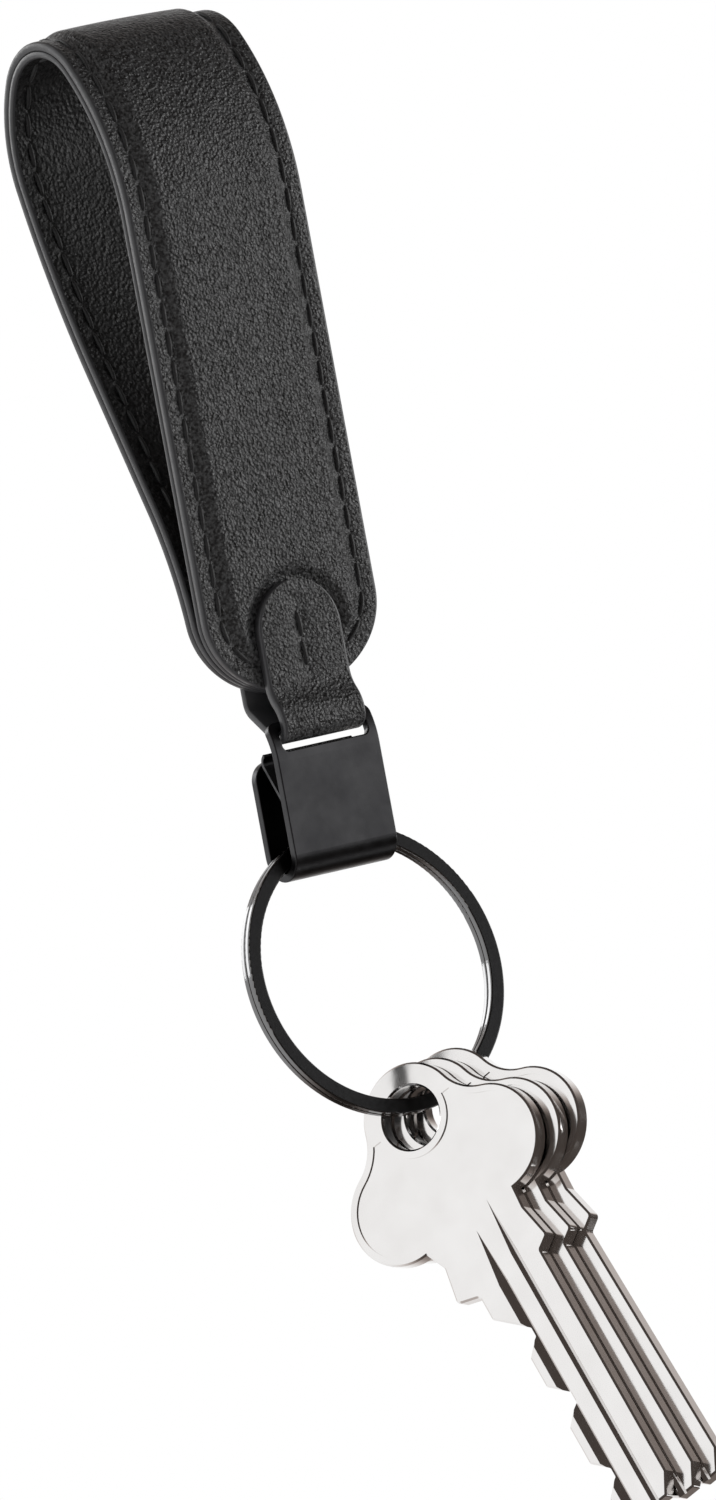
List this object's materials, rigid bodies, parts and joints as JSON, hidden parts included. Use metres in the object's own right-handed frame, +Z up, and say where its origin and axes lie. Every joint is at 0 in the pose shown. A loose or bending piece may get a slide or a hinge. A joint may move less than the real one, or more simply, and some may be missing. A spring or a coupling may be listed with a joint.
{
  "type": "key ring",
  "caption": "Leather wrist-strap loop with a hooked metal clasp, a flat split ring and flat keys hanging from it.",
  "frame": {"origin": "hang point, the middle of the loop's inner surface at its highest point", "axes": "+Z up along the hanging strap, +X across the strap, -Y the front face of the strap"},
  "size_m": [0.0336, 0.064, 0.1727],
  "materials": {
    "black_leather": "fine grain, semi-matt, painted edges",
    "padding": "dense felt-like sheet",
    "tape": "woven non-stretch tape",
    "thread": "bonded sewing thread",
    "clasp_metal": "satin black plating on steel",
    "gate_steel": "blackened spring steel",
    "ring_metal": "black nickel over spring steel, glossy edges",
    "key_metal": "polished nickel plating"
  },
  "bodies": {
    "strap": {"strap_outer_leather": "black_leather", "strap_lining": "black_leather", "strap_padding": "padding", "strap_reinforcement_tape": "tape", "edge_stitching_left": "thread", "edge_stitching_right": "thread", "connector_tab": "black_leather", "tab_stitching": "thread"},
    "clasp": {"clasp_hook": "clasp_metal"},
    "gate": {"clasp_gate_spring": "gate_steel"},
    "ring": {"split_ring": "ring_metal"},
    "key_one": {"key_1": "key_metal"},
    "key_two": {"key_2": "key_metal"},
    "key_three": {"key_3": "key_metal"}
  },
  "joints": [
    {"name": "clasp_swing", "type": "hinge", "parent": "strap", "child": "clasp", "pos_m": [0, -0.01336, -0.07845], "axis": [1, 0, 0], "range_deg": [-45, 35]},
    {"name": "gate_flex", "type": "hinge", "parent": "clasp", "child": "gate", "pos_m": [0, -0.01353, -0.0882], "axis": [1, 0, 0], "range_deg": [0, 16], "stiffness_Nm_per_rad": 0.06},
    {"name": "ring_swing", "type": "hinge", "parent": "clasp", "child": "ring", "pos_m": [0, -0.01176, -0.0928], "axis": [1, 0, 0], "range_deg": [-50, 60]},
    {"name": "key_one_swing", "type": "hinge", "parent": "ring", "child": "key_one", "pos_m": [-0.00076, -0.01929, -0.12429], "axis": [-0.8732, -0.4091, 0.265], "range_deg": [-60, 60]},
    {"name": "key_two_swing", "type": "hinge", "parent": "ring", "child": "key_two", "pos_m": [0.00198, -0.01987, -0.12431], "axis": [-0.8732, -0.4091, 0.265], "range_deg": [-60, 60]},
    {"name": "key_three_swing", "type": "hinge", "parent": "ring", "child": "key_three", "pos_m": [0.00468, -0.01999, -0.12372], "axis": [-0.8732, -0.4091, 0.265], "range_deg": [-60, 60]}
  ]
}
